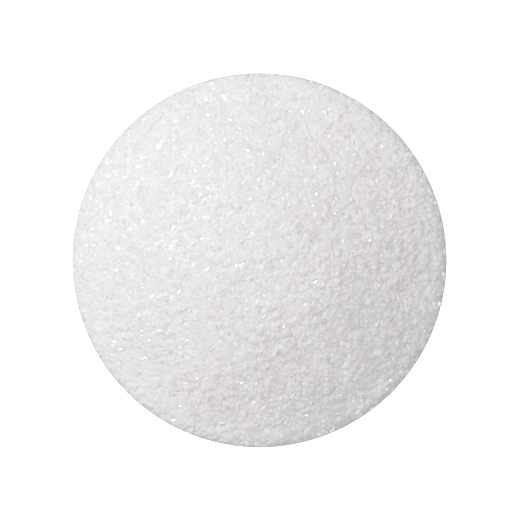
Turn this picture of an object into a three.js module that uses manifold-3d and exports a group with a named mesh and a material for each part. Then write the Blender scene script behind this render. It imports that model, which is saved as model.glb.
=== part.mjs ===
// A round, low heap of white salt crystals, lying loose on a flat surface.
// Millimetres, +Z up. The origin is the middle of the heap's flat underside.
import * as THREE from "three";
import { mergeVertices } from "three/addons/utils/BufferGeometryUtils.js";
import Module from "manifold-3d";

// Driving dimensions of the heap
const HEAP_RADIUS = 25;
const HEAP_HEIGHT = 8.85;
const FLANK_ANGLE = THREE.MathUtils.degToRad(29); // steepest slope, just under salt's angle of repose
const FLANK_RADIUS = 0.87 * HEAP_RADIUS; // where the dome is steepest and the foot begins
const RIM_RADIUS = 0.945 * HEAP_RADIUS; // where the foot turns over into the edge
const RIM_HEIGHT = 1.87; // three grains or so
const EDGE_HEIGHT = 0.75; // the outermost grains stand upright, one grain high

// Grain relief: each point of the surface is the tip of a grain or the gap beside one
const RINGS = 34;
const RING_SPACING = HEAP_RADIUS / RINGS;
const SECTORS = 6; // ring k has SECTORS * k points, so the points lie about evenly
const GRAIN_RELIEF = 0.42; // from gap to tip
const GRAIN_SCATTER = 0.5; // sideways wander of a point, as a share of the spacing
const SMOOTH_RINGS = 2; // rings at the edge that stay round

// Gentle unevenness of the dome: waves across it, each with its length, height and heading
const SWELLS = [
  { length: 17, height: 0.16, heading: 0.5 },
  { length: 11, height: 0.1, heading: 2.2 },
  { length: 7.5, height: 0.07, heading: 3.9 },
];

// Largest crystals, each a block that stands out of the surface
const CRYSTALS = 105;
const CRYSTAL_LENGTH = { least: 0.85, most: 1.35 };
const CRYSTAL_SLENDERNESS = { least: 0.6, most: 0.95 }; // width and thickness as shares of the length
const CRYSTAL_SUNK = 0.16; // how far the block's middle lies under the surface, as a share of its length
const CRYSTAL_WANDER = 7; // places along the spiral that a crystal may have moved outwards
const CRYSTAL_REACH = HEAP_RADIUS - 1.6; // crystals lie inside this radius
const GOLDEN_ANGLE = Math.PI * (3 - Math.sqrt(5));
const SEED = 20261;

// Repeatable random numbers from 0 to 1
function randomSource(seed) {
  let state = seed;
  return () => {
    state = (state + 0x6d2b79f5) | 0;
    let mixed = Math.imul(state ^ (state >>> 15), 1 | state);
    mixed = (mixed + Math.imul(mixed ^ (mixed >>> 7), 61 | mixed)) ^ mixed;
    return ((mixed ^ (mixed >>> 14)) >>> 0) / 2 ** 32;
  };
}

const random = randomSource(SEED);
const randomBetween = ({ least, most }) => THREE.MathUtils.lerp(least, most, random());

// Half of the heap's section, from the top of the dome to the ground: x is the radius, y the height
function heapSection() {
  const flankSlope = Math.tan(FLANK_ANGLE);
  const flankHeight = HEAP_HEIGHT - (flankSlope * FLANK_RADIUS) / 2; // the dome is a parabola
  const footRun = RIM_RADIUS - FLANK_RADIUS;
  const rimSlope = (2 * (flankHeight - RIM_HEIGHT)) / footRun - flankSlope; // the foot is a parabola too
  const edgeRun = HEAP_RADIUS - RIM_RADIUS;
  const section = new THREE.Path();
  section.moveTo(0, HEAP_HEIGHT);
  section.quadraticCurveTo(FLANK_RADIUS / 2, HEAP_HEIGHT, FLANK_RADIUS, flankHeight);
  section.quadraticCurveTo(
    FLANK_RADIUS + footRun / 2,
    flankHeight - (flankSlope * footRun) / 2,
    RIM_RADIUS,
    RIM_HEIGHT,
  );
  section.quadraticCurveTo(
    RIM_RADIUS + edgeRun / 2,
    RIM_HEIGHT - (rimSlope * edgeRun) / 2,
    HEAP_RADIUS,
    EDGE_HEIGHT,
  );
  section.lineTo(HEAP_RADIUS, 0);
  return section;
}

const section = heapSection().getSpacedPoints(RINGS);

// Height of the plain dome at a radius, between the section's points
function domeHeight(radius) {
  const outer = section.findIndex((point, k) => k > 0 && point.x >= radius);
  const [a, b] = [section[outer - 1], section[outer]];
  return THREE.MathUtils.mapLinear(radius, a.x, b.x, a.y, b.y);
}

// Height of the swells at a place on the dome
function swell(place) {
  return SWELLS.reduce((sum, { length, height, heading }) => {
    const along = place.x * Math.cos(heading) + place.y * Math.sin(heading);
    return sum + (height / 2) * Math.sin((2 * Math.PI * along) / length);
  }, 0);
}

// A place at a radius and an angle round the heap's axis, at height 0
function around(radius, angle) {
  return new THREE.Vector3(radius * Math.cos(angle), radius * Math.sin(angle), 0);
}

// One point of the surface on ring k, the i-th of its points
function surfacePoint(k, i) {
  const { x: radius, y: height } = section[k];
  const step = k === 0 ? 0 : (2 * Math.PI) / (SECTORS * k);
  if (k > RINGS - SMOOTH_RINGS) return around(radius, i * step).setZ(height);
  const wander = () => GRAIN_SCATTER * (random() - 0.5);
  const moved = k === 0 ? 0 : radius + wander() * RING_SPACING;
  const place = around(moved, (i + wander()) * step);
  const relief = GRAIN_RELIEF * (random() - 0.5);
  return place.setZ(domeHeight(moved) + swell(place) + relief);
}

// The heap's core: rings of surface points from the top outwards, closed by a flat underside
function coreGeometry() {
  const vertices = [];
  const triangles = [];
  const firstOfRing = [];
  for (let k = 0; k <= RINGS; k++) {
    firstOfRing.push(vertices.length);
    for (let i = 0; i < Math.max(SECTORS * k, 1); i++) vertices.push(surfacePoint(k, i));
  }
  const at = (k, i) => firstOfRing[k] + (k === 0 ? 0 : i % (SECTORS * k));
  for (let k = 0; k < RINGS; k++) {
    for (let sector = 0; sector < SECTORS; sector++) {
      const inner = (i) => at(k, sector * k + i);
      const outer = (i) => at(k + 1, sector * (k + 1) + i);
      for (let i = 0; i <= k; i++) {
        triangles.push(inner(i), outer(i), outer(i + 1));
        if (i < k) triangles.push(inner(i), outer(i + 1), inner(i + 1));
      }
    }
  }
  const middle = vertices.push(new THREE.Vector3(0, 0, 0)) - 1;
  for (let i = 0; i < SECTORS * RINGS; i++) triangles.push(middle, at(RINGS, i + 1), at(RINGS, i));
  return new THREE.BufferGeometry().setFromPoints(vertices).setIndex(triangles);
}

// One of the largest crystals, the n-th on a spiral that spreads them evenly
function crystalGeometry(n) {
  const length = randomBetween(CRYSTAL_LENGTH);
  const width = length * randomBetween(CRYSTAL_SLENDERNESS);
  const thickness = length * randomBetween(CRYSTAL_SLENDERNESS);
  const share = (n + CRYSTAL_WANDER * random()) / (CRYSTALS + CRYSTAL_WANDER);
  const radius = CRYSTAL_REACH * Math.sqrt(share); // equal areas hold equal numbers
  const place = around(radius, n * GOLDEN_ANGLE);
  place.setZ(domeHeight(radius) + swell(place) - CRYSTAL_SUNK * length);
  const anyTurn = () => Math.PI * random();
  const block = new THREE.BoxGeometry(length, width, thickness);
  block.rotateX(anyTurn()).rotateY(anyTurn()).rotateZ(anyTurn());
  return block.translate(...place.toArray());
}

const wasm = await Module();
wasm.setup();

// A closed geometry as a solid that can be joined to another
function solidOf(geometry) {
  geometry.deleteAttribute("normal");
  geometry.deleteAttribute("uv");
  const merged = mergeVertices(geometry);
  return new wasm.Manifold(
    new wasm.Mesh({
      numProp: 3,
      vertProperties: new Float32Array(merged.attributes.position.array),
      triVerts: new Uint32Array(merged.index.array),
    }),
  );
}

function geometryOf(solid) {
  const { vertProperties, triVerts } = solid.getMesh();
  return new THREE.BufferGeometry()
    .setAttribute("position", new THREE.BufferAttribute(vertProperties, 3))
    .setIndex(new THREE.BufferAttribute(triVerts, 1));
}

let heap = solidOf(coreGeometry());
for (let n = 0; n < CRYSTALS; n++) heap = heap.add(solidOf(crystalGeometry(n)));

const salt = new THREE.MeshStandardMaterial({ color: 0xe1dfde, roughness: 0.45, metalness: 0 });
const heapMesh = new THREE.Mesh(geometryOf(heap), salt);
heapMesh.name = "salt_heap";

const part = new THREE.Group();
part.add(heapMesh);

export default part;
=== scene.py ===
"""A round, low heap of white salt crystals on a white floor, seen straight from above in soft light."""

import math
from collections import namedtuple

import bmesh
import bpy
import numpy as np
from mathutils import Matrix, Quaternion, Vector
from mathutils.kdtree import KDTree


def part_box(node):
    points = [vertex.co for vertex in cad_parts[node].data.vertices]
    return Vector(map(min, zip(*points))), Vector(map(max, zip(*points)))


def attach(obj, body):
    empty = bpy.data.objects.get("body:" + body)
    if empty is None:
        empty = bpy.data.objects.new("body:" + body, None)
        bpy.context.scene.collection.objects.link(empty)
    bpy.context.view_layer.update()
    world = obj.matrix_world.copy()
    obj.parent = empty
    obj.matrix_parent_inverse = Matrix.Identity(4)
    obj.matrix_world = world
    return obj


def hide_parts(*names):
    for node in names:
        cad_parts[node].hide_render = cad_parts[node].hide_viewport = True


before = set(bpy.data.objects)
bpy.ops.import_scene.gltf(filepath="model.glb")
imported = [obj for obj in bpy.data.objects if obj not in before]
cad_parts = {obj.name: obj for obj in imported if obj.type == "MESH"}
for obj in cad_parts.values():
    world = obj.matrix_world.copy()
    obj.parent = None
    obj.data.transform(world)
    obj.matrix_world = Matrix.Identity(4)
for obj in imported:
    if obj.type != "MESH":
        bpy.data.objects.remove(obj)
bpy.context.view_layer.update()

MM = 0.001  # one millimetre in the scene; lengths below are in millimetres unless they say otherwise
SEED = 20261
rng = np.random.default_rng(SEED)

# The heap: its width comes from the frame, and its section is the solid's
heap_low, heap_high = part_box("salt_heap")
HEAP_RADIUS = (heap_high.x - heap_low.x) / 2 / MM
HEAP_HEIGHT = 8.85
FLANK_SLOPE = math.tan(math.radians(29))  # steepest slope of the dome
FLANK_RADIUS = 0.87 * HEAP_RADIUS  # where the dome is steepest and the foot begins
RIM_RADIUS = 0.945 * HEAP_RADIUS  # where the foot turns over into the edge
RIM_HEIGHT = 1.87
EDGE_HEIGHT = 0.75
SWELLS = (  # waves across the dome: length, height, heading and phase
    (17.0, 0.16, 0.5, 0.0),
    (11.0, 0.10, 2.2, 0.0),
    (7.5, 0.07, 3.9, 0.0),
)
CLUMPS = 60  # short waves, in which the crystals clump together a little
CLUMP_LENGTH = (0.8, 1.8)
CLUMP_HEIGHT = 0.014

# The crystals: widths, share of all that are poured, and how many of a block's eight corners are broken off
Kind = namedtuple("Kind", "name least most share corners_cut")
CRYSTAL_KINDS = (
    Kind("coarse", 0.74, 0.92, 0.05, 8),
    Kind("medium", 0.52, 0.74, 0.50, 7),
    Kind("fine", 0.32, 0.52, 0.45, 5),
)
SHAPES_OF_A_KIND = 28
BLOCK_WIDTH = (0.72, 1.0)  # width and thickness of a crystal's block, as shares of its length
BLOCK_THICKNESS = (0.58, 0.95)
BLOCK_SKEW = (0.84, 1.08)  # reach of a corner along each axis, as a share of the block's half-width
CORNER_CUT = (0.2, 0.7)  # how much of each edge a broken corner takes away, as such a share too
CRYSTALS_POURED = 19000
LANDING_TRIES = 7  # places that a crystal may roll to before it lies still
INTERLOCK = 0.80  # angular crystals lie closer than balls of their width
CRUST = 0.80  # depth of the poured crystals
EDGE_MARGIN = 0.3  # how far from the outline a crystal's middle keeps, in half-widths
LOOSE_MARGIN = 1.15  # the same for a loose crystal
GAP_DEPTH = 0.085  # deepest gap between crystals, below the smooth dome
LEVEL = 0.10  # how far a crystal may stand above the smooth dome, with a share of its own half-width
LEVEL_SHARE = 0.3
PRESS_REACH = 1.6  # how far from its middle a crystal shapes the core, in half-widths
WORN = 0.06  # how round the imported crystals' edges are worn, as a share of their half-width
WEDGED = (0.02, 0.09)  # how far below the smooth dome the tops of wedged crystals lie
LOOSE_CRYSTALS = 1150  # those that stand highest, each of them whole; the rest are the relief of the core
LOOSE_FLAT = 0.37  # loose crystals lie flat, at this share of their height, a little sunk between the others
LOOSE_SUNK = 0.03

# The core
CORE_RINGS = 270
SECTORS = 6  # ring k has SECTORS * k points, so the points lie about evenly
CORE_TRIANGLES = 185000  # triangles that the core keeps when it is thinned out; kept, so that the piece stays under 200,000
LEAST_HEIGHT = 0.05  # no gap goes lower than this
STEEP = 0.25  # faces whose normals rise less than this stay flat, the wall and the underside too
GIRTH = 2 * math.pi * HEAP_RADIUS
WALL_ROWS = 8  # of points down the upright wall under the edge
WALL_CRYSTALS = 900
WALL_GAP = 0.25  # deepest gap between crystals in the wall
WALL_TAPER = 0.5  # share of the way down over which the gaps deepen, so that the edge stays whole
WALL_SUNK = (0.0, 0.12)  # how far inside the outline the crystals' tips lie
UNDERSIDE_TONE = 0.5

# Places in the bake maps: the core as radii about the middle, its underside in a corner,
# and a loose crystal on a sheet of tiles, one tile for each side of its block
MAP_MIDDLE = 0.5
TOP_IN_MAP = 0.47
FOOT_IN_MAP = 0.495
UNDERSIDE_IN_MAP = 0.06
UNDERSIDE_CORNER = 0.07
TILES = (3, 2)
TILE_MARGIN = 0.05


# The heap's surface


def dome_height(radius):
    """Height of the smooth dome at each radius."""
    flank_height = HEAP_HEIGHT - FLANK_SLOPE * FLANK_RADIUS / 2
    foot_run = RIM_RADIUS - FLANK_RADIUS
    rim_slope = 2 * (flank_height - RIM_HEIGHT) / foot_run - FLANK_SLOPE
    edge_run = HEAP_RADIUS - RIM_RADIUS
    edge_slope = 2 * (RIM_HEIGHT - EDGE_HEIGHT) / edge_run - rim_slope
    dome = HEAP_HEIGHT - FLANK_SLOPE * radius**2 / (2 * FLANK_RADIUS)
    past_flank = radius - FLANK_RADIUS
    foot = flank_height - FLANK_SLOPE * past_flank
    foot = foot + (FLANK_SLOPE - rim_slope) * past_flank**2 / (2 * foot_run)
    past_rim = radius - RIM_RADIUS
    edge = RIM_HEIGHT - rim_slope * past_rim - (edge_slope - rim_slope) * past_rim**2 / (2 * edge_run)
    return np.where(radius < FLANK_RADIUS, dome, np.where(radius < RIM_RADIUS, foot, edge))


def all_waves():
    """The swells and the clumps, one row for each."""
    lengths = rng.uniform(*CLUMP_LENGTH, CLUMPS)
    headings, phases = rng.uniform(0, 2 * math.pi, (2, CLUMPS))
    clumps = np.column_stack([lengths, np.full(CLUMPS, CLUMP_HEIGHT), headings, phases])
    return np.vstack([SWELLS, clumps])


waves = all_waves()


def heap_surface(x, y):
    """Height of the heap with its gentle unevenness."""
    length, height, heading, phase = waves.T
    along = np.outer(x, np.cos(heading)) + np.outer(y, np.sin(heading))
    return dome_height(np.hypot(x, y)) + np.sin(2 * math.pi * along / length + phase) @ (height / 2)


# Shapes of the crystals

Shape = namedtuple("Shape", "points triangles sheet normals reaches")


def crystal_shape(corners_cut):
    """One crystal of mean half-width 1: a skewed block with some corners broken off."""
    half = np.array([1.0, rng.uniform(*BLOCK_WIDTH), rng.uniform(*BLOCK_THICKNESS)])
    half /= half.mean()
    signs = np.array([(a, b, c) for a in (-1, 1) for b in (-1, 1) for c in (-1, 1)])
    corners = signs * half * rng.uniform(*BLOCK_SKEW, signs.shape)
    cut = set(rng.permutation(len(corners))[:corners_cut])
    hull = bmesh.new()
    for n, corner in enumerate(corners):
        if n not in cut:
            hull.verts.new(corner)
            continue
        for axis in range(3):
            pulled = corner.copy()
            pulled[axis] -= signs[n, axis] * half[axis] * rng.uniform(*CORNER_CUT)
            hull.verts.new(pulled)
    made = bmesh.ops.convex_hull(hull, input=hull.verts)
    inside = [v for v in made["geom_interior"] if isinstance(v, bmesh.types.BMVert)]
    bmesh.ops.delete(hull, geom=inside, context="VERTS")
    bmesh.ops.triangulate(hull, faces=hull.faces)
    bmesh.ops.recalc_face_normals(hull, faces=hull.faces)
    hull.verts.index_update()
    points = np.array([v.co for v in hull.verts])
    triangles = np.array([[v.index for v in f.verts] for f in hull.faces])
    normals = np.array([f.normal for f in hull.faces])
    hull.free()
    reaches = (normals * points[triangles[:, 0]]).sum(1)
    return Shape(points, triangles, block_sheet(points, triangles, normals), normals, reaches)


def block_sheet(points, triangles, normals):
    """Places of the triangles' corners on the sheet of tiles."""
    axis = np.abs(normals).argmax(1)
    positive = np.take_along_axis(normals, axis[:, None], 1)[:, 0] > 0
    low, high = points.min(0), points.max(0)
    share = ((points - low) / (high - low))[triangles]
    sheet = np.empty((len(triangles), 3, 2))
    for n in range(len(triangles)):
        across = [a for a in range(3) if a != axis[n]]
        tile = np.array([axis[n], positive[n]])
        sheet[n] = (tile + TILE_MARGIN + (1 - 2 * TILE_MARGIN) * share[n][:, across]) / TILES
    return sheet


# Pouring

Crystal = namedtuple("Crystal", "kind shape turn half x y z stands tone")


def resting_height(x, y, top, half, grid, cell):
    """Height at which a crystal's middle comes to rest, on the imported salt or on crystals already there."""
    z = max(top - CRUST, 0) + INTERLOCK * half
    column, row = int(x // cell), int(y // cell)
    for i in (column - 1, column, column + 1):
        for j in (row - 1, row, row + 1):
            for other in grid.get((i, j), ()):
                touching = (half + other.half) * INTERLOCK
                rise = touching**2 - (x - other.x) ** 2 - (y - other.y) ** 2
                if rise > 0:
                    z = max(z, other.z + math.sqrt(rise))
    return z


def pour_crystals():
    """The crystals, at rest on the dome or, where they find no room, wedged into the gaps; highest last."""
    shapes = [[crystal_shape(kind.corners_cut) for _ in range(SHAPES_OF_A_KIND)] for kind in CRYSTAL_KINDS]
    kinds = rng.choice(len(CRYSTAL_KINDS), CRYSTALS_POURED, p=[kind.share for kind in CRYSTAL_KINDS])
    cell = max(kind.most for kind in CRYSTAL_KINDS)
    grid = {}
    rested = []
    for kind in kinds:
        half = rng.uniform(CRYSTAL_KINDS[kind].least, CRYSTAL_KINDS[kind].most) / 2
        radius = (HEAP_RADIUS - EDGE_MARGIN * half) * np.sqrt(rng.random(LANDING_TRIES))
        angle = 2 * math.pi * rng.random(LANDING_TRIES)
        xs, ys = radius * np.cos(angle), radius * np.sin(angle)
        landings = []
        for x, y, top in zip(xs.tolist(), ys.tolist(), heap_surface(xs, ys).tolist()):
            z = resting_height(x, y, top, half, grid, cell)
            landings.append((z + half - top, x, y, z))
        stands, x, y, z = min(landings)
        has_room = stands < LEVEL + LEVEL_SHARE * half
        if not has_room:
            drop = stands + rng.uniform(*WEDGED)
            stands, z = stands - drop, z - drop
        turn = np.array(Quaternion(rng.normal(size=4)).normalized().to_matrix())
        shape = shapes[kind][rng.integers(SHAPES_OF_A_KIND)]
        crystal = Crystal(kind, shape, turn, half, x, y, z, stands, rng.random())
        if has_room:
            grid.setdefault((int(x // cell), int(y // cell)), []).append(crystal)
        rested.append(crystal)
    return sorted(rested, key=standing)


def standing(crystal):
    """How far a crystal stands out of the dome, if it lies well inside the outline."""
    inside = math.hypot(crystal.x, crystal.y) < HEAP_RADIUS - LOOSE_MARGIN * crystal.half
    return crystal.stands if inside else -CRUST


# Pieces


def new_piece(name, points, triangles, sheet, tones, material):
    """A mesh piece from its points and their tones, and its triangles and their corners in the bake map."""
    mesh = bpy.data.meshes.new(name)
    mesh.from_pydata((points * MM).tolist(), [], triangles.tolist())
    mesh.uv_layers.new(name="OFBake").data.foreach_set("uv", sheet.astype(np.float32).ravel())
    mesh.attributes.new("tone", "FLOAT", "POINT").data.foreach_set("value", tones.astype(np.float32))
    mesh.materials.append(material)
    piece = bpy.data.objects.new(name, mesh)
    bpy.context.scene.collection.objects.link(piece)
    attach(piece, "root")
    return piece


def thin_out(piece, triangles_kept):
    """Merges the smallest triangles of a piece until about this many are left."""
    thin = piece.modifiers.new("thin", "DECIMATE")
    thin.ratio = triangles_kept / len(piece.data.polygons)
    whole = piece.evaluated_get(bpy.context.evaluated_depsgraph_get())
    piece.data = bpy.data.meshes.new_from_object(whole)
    piece.modifiers.clear()


def core_grid():
    """Flat points in rings about the axis, their triangles, and the number of points inside the edge."""
    points = [(0.0, 0.0)]
    first_of_ring = [0]
    for k in range(1, CORE_RINGS + 1):
        first_of_ring.append(len(points))
        radius = HEAP_RADIUS * k / CORE_RINGS
        angle = 2 * math.pi * np.arange(SECTORS * k) / (SECTORS * k)
        points.extend(zip(radius * np.cos(angle), radius * np.sin(angle)))

    def at(k, i):
        return first_of_ring[k] + (i % (SECTORS * k) if k else 0)

    triangles = []
    for k in range(CORE_RINGS):
        for sector in range(SECTORS):
            for i in range(k + 1):
                inner = at(k, sector * k + i)
                outer = at(k + 1, sector * (k + 1) + i)
                after = at(k + 1, sector * (k + 1) + i + 1)
                triangles.append((inner, outer, after))
                if i < k:
                    triangles.append((inner, after, at(k, sector * k + i + 1)))
    return np.array(points), triangles, first_of_ring[-1]


def press_crystals(crystals, flat, height, tones):
    """Raises each point of the core to the top of the crystals that lie over it, and gives it their tone."""
    tree = KDTree(len(flat))
    for n, (x, y) in enumerate(flat):
        tree.insert((x, y, 0), n)
    tree.balance()
    for crystal in crystals:
        farthest = PRESS_REACH * crystal.half
        near = np.array([n for _, n, _ in tree.find_range((crystal.x, crystal.y, 0), farthest)], int)
        if not len(near):
            continue
        normals = crystal.shape.normals @ crystal.turn.T
        beside = flat[near] - (crystal.x, crystal.y)
        level = (crystal.half * crystal.shape.reaches - beside @ normals[:, :2].T) / normals[:, 2]
        upward = normals[:, 2] > 0
        worn = WORN * crystal.half  # rounds the edges where two sides meet
        lowest = level[:, upward].min(1)
        top = lowest - worn * np.log(np.exp((lowest[:, None] - level[:, upward]) / worn).sum(1))
        bottom = level[:, ~upward].max(1)
        raised = (top > bottom) & (crystal.z + top > height[near])
        height[near[raised]] = crystal.z + top[raised]
        tones[near[raised]] = crystal.tone


def line_wall(crystals):
    """Crystals like those given, set into the upright wall: their x is along it, y up it and z outwards."""
    lining = []
    for n in rng.integers(len(crystals), size=WALL_CRYSTALS):
        crystal = crystals[n]
        tip = crystal.half * (crystal.shape.points @ crystal.turn.T)[:, 2].max()
        along = GIRTH * rng.random()
        up = EDGE_HEIGHT * rng.random()
        out = HEAP_RADIUS - tip - rng.uniform(*WALL_SUNK)
        for lap in (-GIRTH, 0, GIRTH):  # the wall closes on itself
            lining.append(crystal._replace(x=along + lap, y=up, z=out))
    return lining


def make_wall(crystals, edge_heights):
    """Points of the upright wall, row by row down from the edge, with their tones and places in the map."""
    angle, down = np.meshgrid(
        2 * math.pi * np.arange(len(edge_heights)) / len(edge_heights),
        np.arange(1, WALL_ROWS + 1) / WALL_ROWS,
    )
    up = (1 - down) * edge_heights
    unrolled = np.column_stack([HEAP_RADIUS * angle.ravel(), up.ravel()])
    out = HEAP_RADIUS - WALL_GAP * np.minimum(down.ravel() / WALL_TAPER, 1)
    tones = rng.random(len(unrolled))
    press_crystals(line_wall(crystals), unrolled, out, tones)
    way = np.column_stack([np.cos(angle.ravel()), np.sin(angle.ravel())])
    points = np.column_stack([way * out[:, None], up.ravel()])
    in_map = TOP_IN_MAP + (FOOT_IN_MAP - TOP_IN_MAP) * down.ravel()
    return points, tones, MAP_MIDDLE + way * in_map[:, None]


def make_core(crystals, material):
    """The heap itself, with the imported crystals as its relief."""
    flat, triangles, inside = core_grid()
    height = np.maximum(heap_surface(flat[:, 0], flat[:, 1]) - GAP_DEPTH, LEAST_HEIGHT)
    tones = rng.random(len(flat))
    press_crystals(crystals, flat, height, tones)
    wall_points, wall_tones, wall_map = make_wall(crystals, height[inside:])
    underside_middle = (0, 0, 0)
    points = np.vstack([np.column_stack([flat, height]), wall_points, underside_middle])
    rows = np.arange(inside, len(points) - 1).reshape(WALL_ROWS + 1, -1)
    after = np.roll(rows, -1, axis=1)
    upper, lower = rows[:-1].ravel(), rows[1:].ravel()
    next_upper, next_lower = after[:-1].ravel(), after[1:].ravel()
    wall = np.vstack([
        np.column_stack([upper, lower, next_lower]),
        np.column_stack([upper, next_lower, next_upper]),
    ])
    middle = np.full_like(rows[-1], len(points) - 1)
    underside = np.column_stack([middle, after[-1], rows[-1]])
    in_map = np.vstack([MAP_MIDDLE + TOP_IN_MAP * flat / HEAP_RADIUS, wall_map])
    shown = np.vstack([triangles, wall])
    corner = UNDERSIDE_CORNER + UNDERSIDE_IN_MAP * points[underside][:, :, :2] / HEAP_RADIUS
    sheet = np.vstack([in_map[shown], corner])
    tones = np.concatenate([tones, wall_tones, [UNDERSIDE_TONE]])
    core = new_piece("salt_core", points, np.vstack([shown, underside]), sheet, tones, material)
    thin_out(core, CORE_TRIANGLES)
    core.data.polygons.foreach_set("use_smooth", [face.normal.z > STEEP for face in core.data.polygons])
    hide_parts("salt_heap")


def make_loose(crystals, material):
    """The crystals that lie whole on the heap, one piece for each kind."""
    for number, kind in enumerate(CRYSTAL_KINDS):
        mine = [crystal for crystal in crystals if crystal.kind == number]
        cells = math.ceil(math.sqrt(len(mine)))
        points, triangles, sheets, tones = [], [], [], []
        count = 0
        for n, crystal in enumerate(mine):
            turned = crystal.half * crystal.shape.points @ crystal.turn.T
            place = (crystal.x, crystal.y, crystal.z - LOOSE_SUNK)
            points.append(turned * (1, 1, LOOSE_FLAT) + place)
            triangles.append(crystal.shape.triangles + count)
            sheets.append((crystal.shape.sheet + (n % cells, n // cells)) / cells)
            tones.append(np.full(len(crystal.shape.points), crystal.tone))
            count += len(crystal.shape.points)
        name = "salt_crystals_" + kind.name
        loose = new_piece(name, *map(np.concatenate, (points, triangles, sheets, tones)), material)
        loose.visible_shadow = False  # clear crystals pass the light on to the salt under them
        loose.visible_diffuse = False


# Salt

SALT_IOR = 1.54
GLOW_COLOUR = (1.0, 0.98, 0.95)  # red light spreads a little farther than blue
PACKED_GLOW = 2.6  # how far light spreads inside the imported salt
THICK_SALT = 1.8  # where the salt lies thinner than this, the light spreads less far
PACKED_MIRROR = 0.33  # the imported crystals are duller
LOOSE_GLOW = 0.1
LOOSE_MIRROR = 0.9  # clear crystals mirror the light on their inner faces too
DULL_SALT = (0.815, 0.811, 0.809, 1)
CLEAR_SALT = (0.998, 0.979, 0.974, 1)
CLOUD_SIZE = 1.3  # width of a patch that is a little brighter or duller than the salt round it
CLOUD_DETAIL = 1
CLOUD_WEIGHT = 2  # of the patches, where a crystal's own tone weighs 1
CLOUD_RANGE = (0.7, 2.3)  # sums of the two that are wholly dull and wholly clear
FROST_SCALE = 2600  # frosted patches to a metre
FROST_DETAIL = 3
FROST_ROUGHNESS = (0.08, 0.35)
FROST_STRENGTH = 0.25
FROST_HEIGHT = 0.03


def salt_material(name, glow, mirror):
    """Translucent salt: how far it glows, and how much light its crystals mirror."""
    material = bpy.data.materials.new(name)
    material.use_nodes = True
    nodes = material.node_tree.nodes
    shader = nodes["Principled BSDF"]
    shader.inputs["IOR"].default_value = SALT_IOR
    shader.inputs["Specular IOR Level"].default_value = mirror
    place = nodes.new("ShaderNodeTexCoord").outputs["Object"]
    spread_light(material.node_tree, shader, place, glow)
    colour_crystals(material.node_tree, shader, place)
    frost_crystals(material.node_tree, shader, place)
    return material


def spread_light(tree, shader, place, glow):
    """Light spreads inside the salt, and less far where the salt lies thin."""
    shader.inputs["Subsurface Weight"].default_value = 1
    shader.inputs["Subsurface Radius"].default_value = GLOW_COLOUR
    parts = tree.nodes.new("ShaderNodeSeparateXYZ")
    tree.links.new(place, parts.inputs["Vector"])
    spread = tree.nodes.new("ShaderNodeMapRange")
    spread.inputs["From Max"].default_value = THICK_SALT * MM
    spread.inputs["To Max"].default_value = glow * MM
    tree.links.new(parts.outputs["Z"], spread.inputs["Value"])
    tree.links.new(spread.outputs["Result"], shader.inputs["Subsurface Scale"])


def colour_crystals(tree, shader, place):
    """Each crystal has its own tone, and lies in a patch that is a little brighter or duller."""
    tone = tree.nodes.new("ShaderNodeAttribute")
    tone.attribute_name = "tone"
    cloud = tree.nodes.new("ShaderNodeTexNoise")
    cloud.inputs["Scale"].default_value = 1 / (CLOUD_SIZE * MM)
    cloud.inputs["Detail"].default_value = CLOUD_DETAIL
    tree.links.new(place, cloud.inputs["Vector"])
    both = tree.nodes.new("ShaderNodeMath")
    both.operation = "MULTIPLY_ADD"
    both.inputs[1].default_value = CLOUD_WEIGHT
    tree.links.new(cloud.outputs["Fac"], both.inputs[0])
    tree.links.new(tone.outputs["Fac"], both.inputs[2])
    clarity = tree.nodes.new("ShaderNodeMapRange")
    clarity.inputs["From Min"].default_value, clarity.inputs["From Max"].default_value = CLOUD_RANGE
    tree.links.new(both.outputs["Value"], clarity.inputs["Value"])
    colour = tree.nodes.new("ShaderNodeValToRGB")
    colour.color_ramp.elements[0].color = DULL_SALT
    colour.color_ramp.elements[1].color = CLEAR_SALT
    tree.links.new(clarity.outputs["Result"], colour.inputs["Fac"])
    tree.links.new(colour.outputs["Color"], shader.inputs["Base Color"])


def frost_crystals(tree, shader, place):
    """The crystals' faces are frosted in places: rougher there, and a little uneven."""
    frost = tree.nodes.new("ShaderNodeTexNoise")
    frost.inputs["Scale"].default_value = FROST_SCALE
    frost.inputs["Detail"].default_value = FROST_DETAIL
    tree.links.new(place, frost.inputs["Vector"])
    rough = tree.nodes.new("ShaderNodeMapRange")
    rough.inputs["To Min"].default_value, rough.inputs["To Max"].default_value = FROST_ROUGHNESS
    tree.links.new(frost.outputs["Fac"], rough.inputs["Value"])
    tree.links.new(rough.outputs["Result"], shader.inputs["Roughness"])
    bump = tree.nodes.new("ShaderNodeBump")
    bump.inputs["Strength"].default_value = FROST_STRENGTH
    bump.inputs["Distance"].default_value = FROST_HEIGHT * MM
    tree.links.new(frost.outputs["Fac"], bump.inputs["Height"])
    tree.links.new(bump.outputs["Normal"], shader.inputs["Normal"])


# Floor, light and camera

PHOTO_SIDE = 520
PHOTO_CENTRE = (259.5, 260.2)  # middle of the heap in the photograph
PHOTO_RADIUS = 187.0  # of the heap, in pixels
PIXEL = HEAP_RADIUS / PHOTO_RADIUS * MM  # one pixel of the photograph on the floor, in metres
CAMERA_HEIGHT = 0.6  # metres, like the lengths below
FLOOR_HALF = 1.2
FLOOR_COLOUR = (0.9, 0.9, 0.9, 1)
FLOOR_ROUGHNESS = 0.9
FLOOR_GLOW = 1.2  # the photograph's ground is pure white
KEY_FROM = Vector((-0.58, 0.415, 1.02)).normalized()  # the way from the heap to the lamp
KEY_DISTANCE = 0.65
KEY_SIZE = 0.2
KEY_WATTS = 2.05
KEY_COLOUR = (1, 0.975, 0.955)
ROOM_LIGHT = 0.517
WHITE = (1, 1, 1, 1)
FILM_RESPONSE = ((0.62, 0.585), (0.753, 0.753), (0.847, 0.834))  # light that falls in, and light shown
FILM_WHITE = 0.96  # shown where the light is 1


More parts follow.
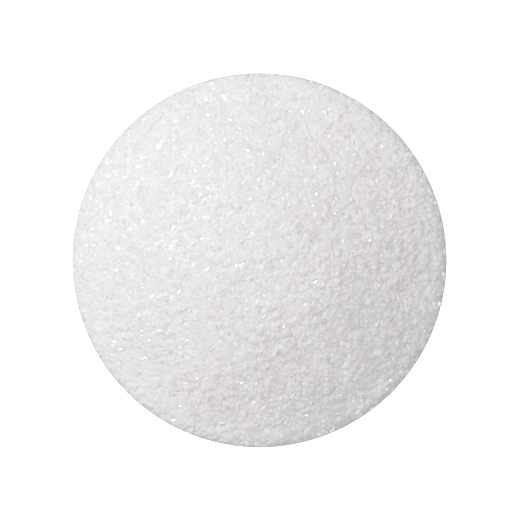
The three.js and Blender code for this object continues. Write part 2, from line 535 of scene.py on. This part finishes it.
def make_floor():
    """A plain white floor, which glows so that no shadow shows on it."""
    mesh = bpy.data.meshes.new("floor")
    corners = [(x * FLOOR_HALF, y * FLOOR_HALF, 0) for x, y in ((-1, -1), (1, -1), (1, 1), (-1, 1))]
    mesh.from_pydata(corners, [], [(0, 1, 2, 3)])
    floor = bpy.data.objects.new("floor", mesh)
    bpy.context.scene.collection.objects.link(floor)
    material = bpy.data.materials.new("floor")
    material.use_nodes = True
    shader = material.node_tree.nodes["Principled BSDF"]
    shader.inputs["Base Color"].default_value = FLOOR_COLOUR
    shader.inputs["Roughness"].default_value = FLOOR_ROUGHNESS
    shader.inputs["Emission Color"].default_value = WHITE
    shader.inputs["Emission Strength"].default_value = FLOOR_GLOW
    mesh.materials.append(material)
    floor.visible_diffuse = False  # the room's light from below stands for what the floor throws back
    floor.visible_glossy = False
    floor.visible_transmission = False


def make_light():
    """A soft, slightly warm light from the upper left, as from a window."""
    lamp = bpy.data.lights.new("window", "AREA")
    lamp.shape = "DISK"
    lamp.size = KEY_SIZE
    lamp.energy = KEY_WATTS
    lamp.color = KEY_COLOUR
    light = bpy.data.objects.new("window", lamp)
    light.location = KEY_FROM * KEY_DISTANCE
    light.rotation_euler = KEY_FROM.to_track_quat("Z", "Y").to_euler()
    bpy.context.scene.collection.objects.link(light)


def make_room():
    """Even light from all round."""
    world = bpy.data.worlds.new("room")
    world.use_nodes = True
    background = world.node_tree.nodes["Background"]
    background.inputs["Color"].default_value = WHITE
    background.inputs["Strength"].default_value = ROOM_LIGHT
    bpy.context.scene.world = world


def make_camera():
    """A camera that looks straight down, with the heap where the photograph has it."""
    scene = bpy.context.scene
    data = bpy.data.cameras.new("camera")
    data.lens = data.sensor_width * CAMERA_HEIGHT / (PHOTO_SIDE * PIXEL)
    camera = bpy.data.objects.new("camera", data)
    across = (PHOTO_SIDE / 2 - PHOTO_CENTRE[0]) * PIXEL
    up = (PHOTO_CENTRE[1] - PHOTO_SIDE / 2) * PIXEL
    camera.location = (across, up, CAMERA_HEIGHT)
    scene.collection.objects.link(camera)
    scene.camera = camera


def make_film():
    """A response that presses bright tones together, as the photograph's does."""
    settings = bpy.context.scene.view_settings
    settings.view_transform = "Standard"
    settings.use_curve_mapping = True
    response = settings.curve_mapping
    response.use_clip = False
    response.extend = "EXTRAPOLATED"
    all_colours = response.curves[-1]  # after red, green and blue
    for light, shown in FILM_RESPONSE:
        all_colours.points.new(light, shown)
    all_colours.points[-1].location = (1, FILM_WHITE)
    response.update()


poured = pour_crystals()
make_core(poured[:-LOOSE_CRYSTALS], salt_material("salt_packed", PACKED_GLOW, PACKED_MIRROR))
make_loose(poured[-LOOSE_CRYSTALS:], salt_material("salt_loose", LOOSE_GLOW, LOOSE_MIRROR))
make_floor()
make_light()
make_room()
make_camera()
make_film()
